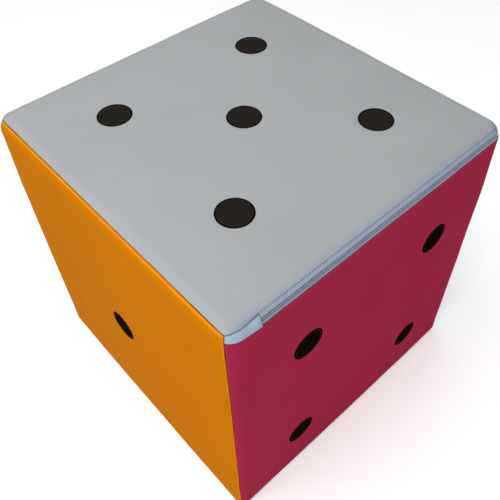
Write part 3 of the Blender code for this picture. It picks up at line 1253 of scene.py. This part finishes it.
            # Nearness to the seams, which drives the painted shade in them and the highlight beside them.
            beside_level = max(0.0, level_distance) / self.level_fade
            beside_upright = max(0.0, side_distance) / self.upright_fade
            near[(column, row)] = math.exp(-min(beside_level, beside_upright))
            return pressed(self.fullness, spot, pips, facing)

        bm = mapped_grid(len(columns) - 1, rows, place)
        piece = to_object(self.name, bm, (palette[self.finish], palette["cloth_backing"]))
        width = len(columns)
        values = [near[(i % width, i // width)] for i in range(width * (rows + 1))]
        set_point_values(piece, "seam_nearness", values)
        thicken(piece, self.thickness, 1)
        return piece

    def turned_in(self, distance: float, radius: float) -> float:
        """Gives the depth at a distance from a border. Below zero lies the wall inside the seam."""
        return radius + self.wall if distance < 0 else rolled(distance, radius)


@dataclass
class Cover:
    """The six panels and the seam allowances that hold them together."""

    palette: Palette
    fullness: Fullness

    def build(self) -> list[bpy.types.Object]:
        """Builds the panels and the strips under their seams.

        Returns:
            The pieces.
        """
        made = []
        lid_shape = CapPanel("lid_panel", "top_leatherette", TOP_EDGE, self.fullness, True)
        lid = lid_shape.build(self.palette)
        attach(lid, "lid")
        made.append((lid, "top"))
        base_shape = CapPanel("base_panel", "bottom_leatherette", BOTTOM_EDGE, self.fullness, False)
        base = base_shape.build(self.palette)
        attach(base, "cover")
        made.append((base, "bottom"))
        seams = ((Leg.FRONT, 50, 45), (Leg.RIGHT, 45, 45), (Leg.BACK, 45, 45), (Leg.LEFT, 45, 40))
        for leg, start, end in seams:
            face = leg.name.lower()
            panel = SidePanel(f"{face}_cover_panel", f"{face}_leatherette", leg, self.fullness)
            panel.start_angle, panel.end_angle = math.radians(start), math.radians(end)
            piece = panel.build(self.palette)
            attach(piece, "cover")
            made.append((piece, face))
        for piece, face in made:
            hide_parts(f"{face}_panel")
        strips = [self.level_strip(), *self.upright_strips(), self.hinge_strip()]
        return [piece for piece, _ in made] + strips

    def level_strip(self) -> bpy.types.Object:
        """Builds the strip under the seam round the base."""
        edge = BOTTOM_EDGE
        across = even_steps(-3.2 * MM, 3.2 * MM, 1.6 * MM)
        path = TopPath(edge, edge.corner - 3 * MM)
        stations = path.stations(0.0, 4 * path.leg_length)

        def place(column: int, row: int) -> Vector:
            """Places one point of the strip."""
            angle = SEAM_ANGLE + across[row] / edge.radius
            spot, _, _ = path.frame_at(stations[column], angle, 2.3 * MM)
            return self.fullness.settled(Vector((spot.x, spot.y, DIE_HEIGHT - spot.z)))

        bm = mapped_grid(len(stations) - 1, len(across) - 1, place)
        bmesh.ops.remove_doubles(bm, verts=bm.verts[:], dist=0.01 * MM)
        return self.strip("base_seam_allowance", bm, "cover")

    def upright_strips(self) -> list[bpy.types.Object]:
        """Builds the strips under the four upright seams."""
        made = []
        across = even_steps(-math.radians(17), math.radians(17), math.radians(6))
        heights = even_steps(7 * MM, DIE_HEIGHT - 12 * MM, 6 * MM)
        for leg in Leg:
            middle = math.radians(40 if leg == Leg.LEFT else 45)
            turn = Matrix.Rotation(leg * math.pi / 2, 3, "Z")

            def place(column: int, row: int) -> Vector:
                """Places one point of the strip."""
                angle, height = middle + across[column], heights[row]
                size = corner_radius(height)
                reach = size - 2.7 * MM - 2.2 * MM * smoothstep(0.025, 0.0, height)
                reach -= 3.2 * MM * smoothstep(DIE_HEIGHT - 20 * MM, DIE_HEIGHT - 10 * MM, height)
                flat = DIE_HALF - size
                spot = turn @ Vector((flat + math.sin(angle) * reach, -flat - math.cos(angle) * reach, 0))
                spot.z = height
                return self.fullness.settled(spot)

            bm = mapped_grid(len(across) - 1, len(heights) - 1, place)
            made.append(self.strip(f"{leg.name.lower()}_seam_allowance", bm, "cover"))
        return made

    def hinge_strip(self) -> bpy.types.Object:
        """Builds the strip under the lid's left seam."""
        path = TopPath()
        start = 3 * path.leg_length + 2 * MM
        stations = even_steps(start, start + 2 * path.edge.flat - 4 * MM, 6 * MM)
        across = even_steps(3.6 * MM, -3.6 * MM, 0.9 * MM)

        def place(column: int, row: int) -> Vector:
            """Places one point of the strip."""
            angle = HINGE_SEAM_ANGLE + across[row] / path.edge.radius
            spot, _, _ = path.frame_at(stations[column], angle, 2.5 * MM)
            return self.fullness.settled(spot)

        bm = mapped_grid(len(stations) - 1, len(across) - 1, place)
        piece = to_object("hinge_seam_allowance", bm, (self.palette["seam_allowance"],))
        thicken(piece, 0.6 * MM)
        low, _, _ = path.frame_at(stations[0], HINGE_SEAM_ANGLE + 0.14, 2.5 * MM)
        high, _, _ = path.frame_at(stations[0], HINGE_SEAM_ANGLE - 0.14, 2.5 * MM)
        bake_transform(piece)
        return piece

    def strip(self, name: str, bm: bmesh.types.BMesh, body: str) -> bpy.types.Object:
        """Finishes one strip of seam allowance.

        Args:
            name: The piece's name.
            bm: Its sheet.
            body: What it rides on.

        Returns:
            The strip.
        """
        piece = to_object(name, bm, (self.palette["seam_allowance"],))
        thicken(piece, 0.6 * MM)
        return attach(piece, body)


# --------------------------------------------------------------------------------------------------
# Pips


@dataclass
class Pips:
    """The black leatherette discs, each sewn on near its rim."""

    palette: Palette
    fullness: Fullness
    rise: float = 0.75 * MM
    stitch_share: float = 0.86
    steps: int = 72
    stitches: int = 34

    def profile(self, radius: float) -> list[tuple[float, float]]:
        """Gives the disc's section.

        Args:
            radius: The disc's radius.

        Returns:
            Distances from the middle and heights over the panel.
        """
        seam = radius * self.stitch_share
        top = self.rise
        return [
            (0.0, top + 0.25 * MM), (radius * 0.3, top + 0.24 * MM), (radius * 0.55, top + 0.18 * MM),
            (radius * 0.72, top + 0.1 * MM), (seam - 1.3 * MM, top + 0.02 * MM),
            (seam - 0.6 * MM, top - 0.22 * MM), (seam, top - 0.42 * MM), (seam + 0.6 * MM, top - 0.2 * MM),
            (seam + 1.2 * MM, top - 0.02 * MM), (radius - 0.45 * MM, top - 0.06 * MM),
            (radius - 0.1 * MM, top - 0.35 * MM), (radius, top - 0.7 * MM),
            (radius - 0.05 * MM, -0.9 * MM), (radius * 0.6, -1.0 * MM), (0.0, -1.0 * MM),
        ]

    def build(self) -> list[bpy.types.Object]:
        """Builds every pip of the die.

        Returns:
            The pips.
        """
        return [self.disc(name, middle, facing) for name, middle, facing in pip_places()]

    def disc(self, name: str, middle: Vector, facing: Vector) -> bpy.types.Object:
        """Builds one pip.

        Args:
            name: The CAD node it stands for.
            middle: The middle of its face.
            facing: The way it looks.

        Returns:
            The pip.
        """
        low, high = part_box(name)
        radius = max(high - low) / 2
        bm = bmesh.new()
        section = self.profile(radius)
        verts = [bm.verts.new((r, 0, z)) for r, z in section]
        edges = [bm.edges.new(pair) for pair in zip(verts, verts[1:])]
        bmesh.ops.spin(
            bm, geom=verts + edges, cent=(0, 0, 0), axis=(0, 0, 1), angle=math.tau, steps=self.steps,
            use_merge=True,
        )
        bmesh.ops.remove_doubles(bm, verts=bm.verts[:], dist=0.001 * MM)
        bmesh.ops.recalc_face_normals(bm, faces=bm.faces[:])
        seam = radius * self.stitch_share
        thread = Beads(slot=1)
        for i in range(self.stitches):
            turn = math.tau * i / self.stitches
            spot = Vector((math.cos(turn) * seam, math.sin(turn) * seam, self.rise - 0.18 * MM))
            along = Vector((-math.sin(turn), math.cos(turn), 0))
            size = Vector((2.5 * MM, 0.55 * MM, 0.5 * MM))
            thread.add(oriented(spot, along, Vector((0, 0, 1)), size))
        thread.pour(bm)
        # Painted shade on the pip's ring of stitches and on its rim beyond them.
        rim_start, rim_end = self.stitch_share - 0.03, self.stitch_share + 0.02
        rim_shade = [smoothstep(rim_start, rim_end, v.co.xy.length / radius) for v in bm.verts]
        stand = facing.to_track_quat("Z", "Y").to_matrix().to_4x4()
        bm.transform(Matrix.Translation(middle) @ stand)
        centre_shift = self.fullness.settled(middle) - middle
        for vert in bm.verts:
            vert.co = self.fullness.settled(vert.co) * 0.6 + (vert.co + centre_shift) * 0.4
            vert.co -= facing * self.fullness.dimple
        # Pips facing sideways or down use the darker copy: painted shade.
        finish = "pip_leatherette" if facing.z > 0 else "side_pip_leatherette"
        piece = to_object(f"{name}_disc", bm, (self.palette[finish], self.palette["black_thread"]))
        set_point_values(piece, "seam_nearness", rim_shade)
        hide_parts(name)
        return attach(piece, "lid" if name.startswith("top") else "cover")


def pip_places() -> list[tuple[str, Vector, Vector]]:
    """Finds the pips of the CAD model.

    Returns:
        For each, its node's name, the middle of its face and the way it looks.
    """
    found = []
    facings = {
        "top": (0, 0, 1), "bottom": (0, 0, -1), "front": (0, -1, 0),
        "back": (0, 1, 0), "left": (-1, 0, 0), "right": (1, 0, 0),
    }
    for name in sorted(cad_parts):
        face, _, rest = name.partition("_")
        if not rest.startswith("pip"):
            continue
        facing = Vector(facings[face])
        low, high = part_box(name)
        middle = (low + high) / 2
        reach = max(abs((c - middle).dot(facing)) for c in (low, high))
        found.append((name, middle + facing * reach, facing))
    return found


# --------------------------------------------------------------------------------------------------
# Zip


@dataclass
class Zip:
    """The coil zip round three top edges: tapes, teeth, stops, slider and topstitching."""

    palette: Palette
    fullness: Fullness
    path: TopPath = TopPath()
    tooth_pitch: float = 1.4 * MM
    tooth_size: tuple[float, float, float] = (0.95 * MM, 2.3 * MM, 1.0 * MM)
    row_offset: float = 1.08 * MM
    stitch_pitch: float = 3.3 * MM
    stitch_size: tuple[float, float, float] = (2.7 * MM, 0.7 * MM, 0.5 * MM)
    lower_tape: tuple[float, float] = (math.radians(81.5), math.radians(61.5))
    upper_tape: tuple[float, float] = (math.radians(55.8), math.radians(46))
    lower_tape_depth: float = 0.8 * MM
    upper_tape_depth: float = 1.7 * MM
    tape_thickness: float = 0.5 * MM
    tape_thread_depth: float = 0.95 * MM
    tooth_depth: float = 0.72 * MM
    past_slider: float = 20 * MM
    lower_teeth_inset: float = 5 * MM
    slider_length: float = 11 * MM
    slider_width: float = 7.4 * MM

    def build(self) -> list[bpy.types.Object]:
        """Builds the zip.

        Returns:
            Its pieces.
        """
        first, last = self.ends()
        pieces = [
            self.tape("lower_zip_tape", *self.lower_tape, self.lower_tape_depth, first, last),
            self.tape(
                "upper_zip_tape", *self.upper_tape, self.upper_tape_depth, first + self.past_slider, last,
            ),
            self.coil("lower_zip_teeth", 1, first + self.lower_teeth_inset, last - self.lower_teeth_inset),
            self.coil("upper_zip_teeth", -1, first + self.past_slider, last),
            self.stitching("lid_topstitching", "lid", STITCH_ANGLE, 0.0),
            # A row of stitches in the tape's valley; its thread, deeper in colour than the tape, also paints
            # the shade of that groove.
            self.stitching("tape_stitching", "cover", TAPE_STITCH_ANGLE, self.tape_thread_depth),
            self.slider(),
        ]
        bodies = ("cover", "lid", "cover", "lid", "lid", "cover", "slider")
        for piece, body in zip(pieces, bodies):
            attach(piece, body)
        nodes = (
            "zip_tape_lower", "zip_tape_upper", "zip_coil_lower", "zip_coil_upper", None, None, "zip_slider",
        )
        slots = ("zip_tape", "zip_tape", "zip_coil", "zip_coil", None, None, "zip_metal")
        for piece, node, slot in zip(pieces, nodes, slots):
            if node:
                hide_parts(node)
        for stop in ("zip_top_stop", "zip_bottom_stop"):
            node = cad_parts[stop]
            node.data.materials.clear()
            node.data.materials.append(self.palette["zip_metal"])
        return pieces

    def ends(self) -> tuple[float, float]:
        """Gives where the zip starts and ends along its path, from the CAD tape."""
        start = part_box("zip_tape_lower")[0].x
        inside = start + self.path.edge.flat
        return inside, self.path.end - inside

    def tape(
        self, name: str, low: float, high: float, depth: float, start: float, end: float,
    ) -> bpy.types.Object:
        """Builds one tape.

        Args:
            name: The piece's name.
            low: The angle of its outer edge.
            high: The angle of its edge at the teeth.
            depth: How far it lies under the surface.
            start: Where it starts along the path.
            end: Where it ends.

        Returns:
            The tape.
        """
        stations = self.path.stations(start, end)
        angles = even_steps(low, high, math.radians(0.8))

        def place(column: int, row: int) -> Vector:
            """Places one point of the tape."""
            valley = math.exp(-(((angles[row] - TAPE_STITCH_ANGLE) / math.radians(1.6)) ** 2))
            under_teeth = 0.0
            if low > ZIP_ANGLE:
                under_teeth = smoothstep(math.radians(66), math.radians(63.8), angles[row])
            sunk = depth + max(valley * 0.8, under_teeth * 0.75) * MM
            spot, _, _ = self.path.frame_at(stations[column], angles[row], sunk)
            return self.fullness.settled(spot)

        bm = mapped_grid(len(stations) - 1, len(angles) - 1, place)
        piece = to_object(name, bm, (self.palette["zip_tape"],))
        thicken(piece, self.tape_thickness)
        return piece

    def coil(self, name: str, side: int, start: float, end: float) -> bpy.types.Object:
        """Builds one row of teeth.

        Args:
            name: The piece's name.
            side: 1 for the row on the die, -1 for the row on the lid.
            start: Where it starts along the path.
            end: Where it ends.

        Returns:
            The row.
        """
        teeth = Beads()
        angle = ZIP_ANGLE + side * self.row_offset / self.path.edge.radius
        count = int((end - start) / self.tooth_pitch)
        for i in range(count):
            distance = start + (i + (0.25 if side > 0 else 0.75)) * self.tooth_pitch
            spot, along, out = self.path.frame_at(distance, angle, self.tooth_depth)
            matrix = oriented(self.fullness.settled(spot), along, out, Vector(self.tooth_size))
            teeth.add(matrix)
        return to_object(name, teeth.pour(bmesh.new()), (self.palette["zip_coil"],))

    def stitching(self, name: str, body: str, angle: float, depth: float) -> bpy.types.Object:
        """Builds a row of stitches along the path.

        Args:
            name: The piece's name.
            body: What the row is sewn to.
            angle: Where the row runs in the edge's section.
            depth: How far the thread lies under the surface.

        Returns:
            The row.
        """
        thread = Beads()
        start, end = self.ends()
        if body == "lid":
            start = TAB_REACH - (DIE_HALF - self.path.edge.flat) - 1.0 * MM
            end = self.path.end - start
        for i in range(int((end - start) / self.stitch_pitch)):
            distance = start + (i + 0.5) * self.stitch_pitch
            spot, along, out = self.path.frame_at(distance, angle, depth + 0.05 * MM)
            thread.add(oriented(self.fullness.settled(spot), along, out, Vector(self.stitch_size)))
        return to_object(name, thread.pour(bmesh.new()), (self.palette["pale_thread"],))

    def slider(self) -> bpy.types.Object:
        """Builds the child-safe slider without a puller, where the CAD slider is."""
        low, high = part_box("zip_slider")
        middle = (low + high) / 2
        distance = middle.x + self.path.edge.flat
        bm = bmesh.new()
        length, width = self.slider_length, self.slider_width
        flange, side = Vector((9 * MM, 0.7 * MM, 1.2 * MM)), width / 2 - 0.35 * MM
        parts = (
            (Vector((0, 0, 0.1 * MM)), Vector((length, width, 0.8 * MM)), 0.0),
            (Vector((0, 0, -3.0 * MM)), Vector((length, width, 0.9 * MM)), 0.0),
            (Vector((0, 0, 0.6 * MM)), Vector((6.2 * MM, 2.2 * MM, 0.7 * MM)), 0.0),
            (Vector((-3.6 * MM, 0, -1.4 * MM)), Vector((2.6 * MM, 1.1 * MM, 3.0 * MM)), 0.0),
            (Vector((0.6 * MM, side, -0.4 * MM)), flange, 0.06),
            (Vector((0.6 * MM, -side, -0.4 * MM)), flange, -0.06),
        )
        for offset, size, swing in parts:
            matrix = Matrix.Translation(offset) @ Matrix.Rotation(swing, 4, "Z") @ Matrix.Diagonal((*size, 1))
            made = bmesh.ops.create_cube(bm, size=1.0, matrix=matrix)
            edges = list({e for v in made["verts"] for e in v.link_edges})
            bmesh.ops.bevel(
                bm, geom=edges, offset=min(size) * 0.3, segments=3, profile=0.5, affect="EDGES", material=-1,
            )
        spot, along, out = self.path.frame_at(distance, ZIP_ANGLE, 0.0)
        bm.transform(oriented(self.fullness.settled(spot), along, out, Vector((1, 1, 1))))
        return to_object("zip_slider_body", bm, (self.palette["zip_metal"],))


@dataclass
class EndTab:
    """A folded leatherette tab over one end of the zip."""

    palette: Palette
    fullness: Fullness
    name: str
    node: str
    at_front: bool
    path: TopPath = TopPath()
    rise: float = 0.95 * MM
    slant: float = -1.2 * MM
    bulge: float = 1.25 * MM

    def build(self) -> bpy.types.Object:
        """Builds the tab.

        Returns:
            The tab, riding on the lid.
        """
        turn = self.path.turn_radius
        start, end = -turn * math.radians(49), TAB_REACH - (DIE_HALF - self.path.edge.flat)
        stations = even_steps(0.0, 1.0, 0.025)
        across = even_steps(0.0, 1.0, 0.05)

        def place(column: int, row: int) -> Vector:
            """Places one point of the tab."""
            share, climb = stations[column if self.at_front else len(stations) - 1 - column], across[row]
            low = math.radians(71.5 + 8.5 * share)
            swing = max(0.0, -(start + (end - start) * share)) / turn
            rise_along = 4 * smoothstep(0.3, 1.0, share)
            high = math.radians(45.5 - rise_along + 3 * smoothstep(0.0, SEAM_ANGLE, swing))
            high -= math.radians(3.4) * math.exp(-(((swing - math.radians(22)) / math.radians(17)) ** 2))
            angle = low + (high - low) * climb
            mouth = end + self.slant * (0.5 - climb) - 0.4 * MM * math.sin(climb * math.pi)
            distance = start + (mouth - start) * share
            edge = min(climb * 9.5 * MM, (1 - share) * 30 * MM, (1 - climb) * 9.5 * MM)
            lift = self.rise - rolled(edge, 0.5 * MM) * 0.9
            lift += 0.12 * MM * noise.noise(Vector((share * 6, climb * 2, 4.0 if self.at_front else 8.0)))
            lift -= 0.5 * MM * smoothstep(0.1, 0.0, share)
            lift += self.bulge * math.exp(-(((share - 0.86) / 0.14) ** 2) - ((climb - 0.5) / 0.4) ** 2)
            fold = math.exp(-(((climb - 0.16) / 0.05) ** 2)) * 0.22 * MM
            travelled = distance if self.at_front else self.path.end - distance
            spot, _, _ = self.path.frame_at(travelled, angle, -(lift - fold))
            return self.fullness.settled(spot)

        bm = mapped_grid(len(stations) - 1, len(across) - 1, place)
        piece = to_object(self.name, bm, (self.palette["tab_leatherette"],))
        # Painted shade along the tab's top edge and at its open mouth, where it casts a thin shadow line.
        shares = stations if self.at_front else stations[::-1]
        edge_shade = [
            max(smoothstep(0.79, 0.91, climb), 0.9 * smoothstep(0.965, 0.99, share))
            for climb in across
            for share in shares
        ]
        set_point_values(piece, "seam_nearness", edge_shade)
        thicken(piece, 0.8 * MM)
        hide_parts(self.node)
        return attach(piece, "lid")


# --------------------------------------------------------------------------------------------------
# Foam and studio


@dataclass
class FoamCore:
    """The foam cube inside the cover."""

    palette: Palette
    fullness: Fullness
    cuts: int = 40
    radius: float = 20.0 * MM
    squeeze: float = 0.9 * MM

    def build(self) -> bpy.types.Object:
        """Builds the core.

        Returns:
            The core, riding on the cover.
        """
        low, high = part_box("foam_core")
        centre, half = (low + high) / 2, (high - low) / 2 - Vector((self.squeeze,) * 3)
        bm = bmesh.new()
        bmesh.ops.create_cube(bm, size=2.0)
        bmesh.ops.subdivide_edges(bm, edges=bm.edges[:], cuts=self.cuts, use_grid_fill=True)
        for vert in bm.verts:
            spot = Vector(math.tan(c * math.pi / 4) * 0.15 + c * 0.85 for c in vert.co)
            spot = Vector(c * h for c, h in zip(spot, half))
            inner = Vector(max(-(h - self.radius), min(h - self.radius, c)) for c, h in zip(spot, half))
            outward = spot - inner
            spot = inner + outward.normalized() * self.radius if outward.length > 0 else spot
            vert.co = self.fullness.settled(centre + spot)
        piece = to_object("foam_block", bm, (self.palette["foam"],))
        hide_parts("foam_core")
        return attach(piece, "cover")


@dataclass(frozen=True)
class SoftBox:
    """One large soft light."""

    name: str
    place: tuple[float, float, float]
    size: float
    power: float
    colour: tuple[float, float, float] = (1.0, 1.0, 1.0)

    def build(self) -> bpy.types.Object:
        """Builds the light, aimed at the die."""
        light = bpy.data.lights.new(self.name, "AREA")
        light.shape = "SQUARE"
        light.size = self.size
        light.energy = self.power
        light.color = self.colour
        lamp = bpy.data.objects.new(self.name, light)
        lamp.location = self.place
        lamp.rotation_euler = (DIE_CENTRE - lamp.location).to_track_quat("-Z", "Y").to_euler()
        bpy.context.scene.collection.objects.link(lamp)
        return lamp


@dataclass
class Studio:
    """The pale floor, the soft light and the camera."""

    floor_glow: float = 0.24
    sky_strength: float = 0.60
    sensor_width: float = 36.0
    lens_ratio: float = 1.2194
    lens_shift: tuple[float, float] = (-0.0192, -0.0300)
    camera_place: tuple[float, float, float] = (-0.34305, -0.40594, 0.81486)
    camera_forward: tuple[float, float, float] = (0.436358, 0.492612, -0.752944)
    camera_down: tuple[float, float, float] = (-0.515223, -0.549245, -0.657932)

    def build(self) -> None:
        """Builds the studio and sets the camera."""
        self.floor()
        self.sky()
        self.colours()
        for light in (
            SoftBox("key_light", (-0.46, 0.02, 1.45), 0.9, 11.5),
            SoftBox("fill_light", (-1.55, -1.18, 0.80), 1.1, 9.5),
        ):
            light.build()
        self.camera()

    def floor(self) -> None:
        """Builds the floor."""
        bm = bmesh.new()
        bmesh.ops.create_grid(bm, x_segments=2, y_segments=2, size=40.0)
        finish, r, shader, where = new_material("pale_floor")
        colour = tinted(r, (0.93, 0.93, 0.93), r.span(r.noise(where, 3.0), 0.3, 0.7, 0.99, 1.01))
        r.tree.links.new(colour, shader.inputs["Base Color"])
        shader.inputs["Roughness"].default_value = 0.9
        shader.inputs["Specular IOR Level"].default_value = 0.1
        shader.inputs["Emission Color"].default_value = (1.0, 1.0, 1.0, 1.0)
        shader.inputs["Emission Strength"].default_value = self.floor_glow
        floor = to_object("floor", bm, (finish,))
        floor.location.z = -0.3 * MM

    def sky(self) -> None:
        """Sets the even light from all round."""
        world = bpy.data.worlds.new("studio_sky")
        bpy.context.scene.world = world
        world.use_nodes = True
        background = world.node_tree.nodes["Background"]
        background.inputs["Color"].default_value = (1.0, 1.0, 1.0, 1.0)
        background.inputs["Strength"].default_value = self.sky_strength

    def colours(self) -> None:
        """Shows the colours as they are, without a film look."""
        bpy.context.scene.view_settings.view_transform = "Standard"

    def camera(self) -> None:
        """Sets the camera, looking down on the die's near corner."""
        data = bpy.data.cameras.new("camera")
        data.sensor_width = self.sensor_width
        data.lens = self.sensor_width * self.lens_ratio
        data.shift_x, data.shift_y = self.lens_shift
        data.clip_start, data.clip_end = 0.01, 50.0
        camera = bpy.data.objects.new("camera", data)
        forward, down = Vector(self.camera_forward), Vector(self.camera_down)
        right = down.cross(forward)
        turn = Matrix((right, -down, -forward)).transposed().to_4x4()
        camera.matrix_world = Matrix.Translation(self.camera_place) @ turn
        bpy.context.scene.collection.objects.link(camera)
        bpy.context.scene.camera = camera


def report(label: str, pieces: Iterable[bpy.types.Object]) -> None:
    """Logs how large the pieces of one sub-assembly are."""
    for piece in pieces:
        LOG.info("%s: %s, %d faces", label, piece.name, len(piece.data.polygons))


def main() -> None:
    """Builds the die and its studio."""
    logging.basicConfig(level=logging.INFO, format="%(message)s")
    noise.seed_set(11)
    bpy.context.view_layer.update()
    palette = build_palette()
    fullness = Fullness(pips=[(middle, facing) for _, middle, facing in pip_places()])
    fullness.tree, fullness.shifts = StuffedBag().simulate()
    LOG.info("stuffed bag: %d points", len(fullness.shifts))
    Studio().build()
    report("cover", Cover(palette, fullness).build())
    report("pips", Pips(palette, fullness).build())
    report("zip", Zip(palette, fullness).build())
    tabs = (
        EndTab(palette, fullness, "garage_tab", "zip_garage_tab", True),
        EndTab(palette, fullness, "end_tab", "zip_end_tab", False, rise=0.6 * MM, bulge=0.0),
    )
    report("tabs", [tab.build() for tab in tabs])
    report("foam", [FoamCore(palette, fullness).build()])


if __name__ == "__main__":
    main()
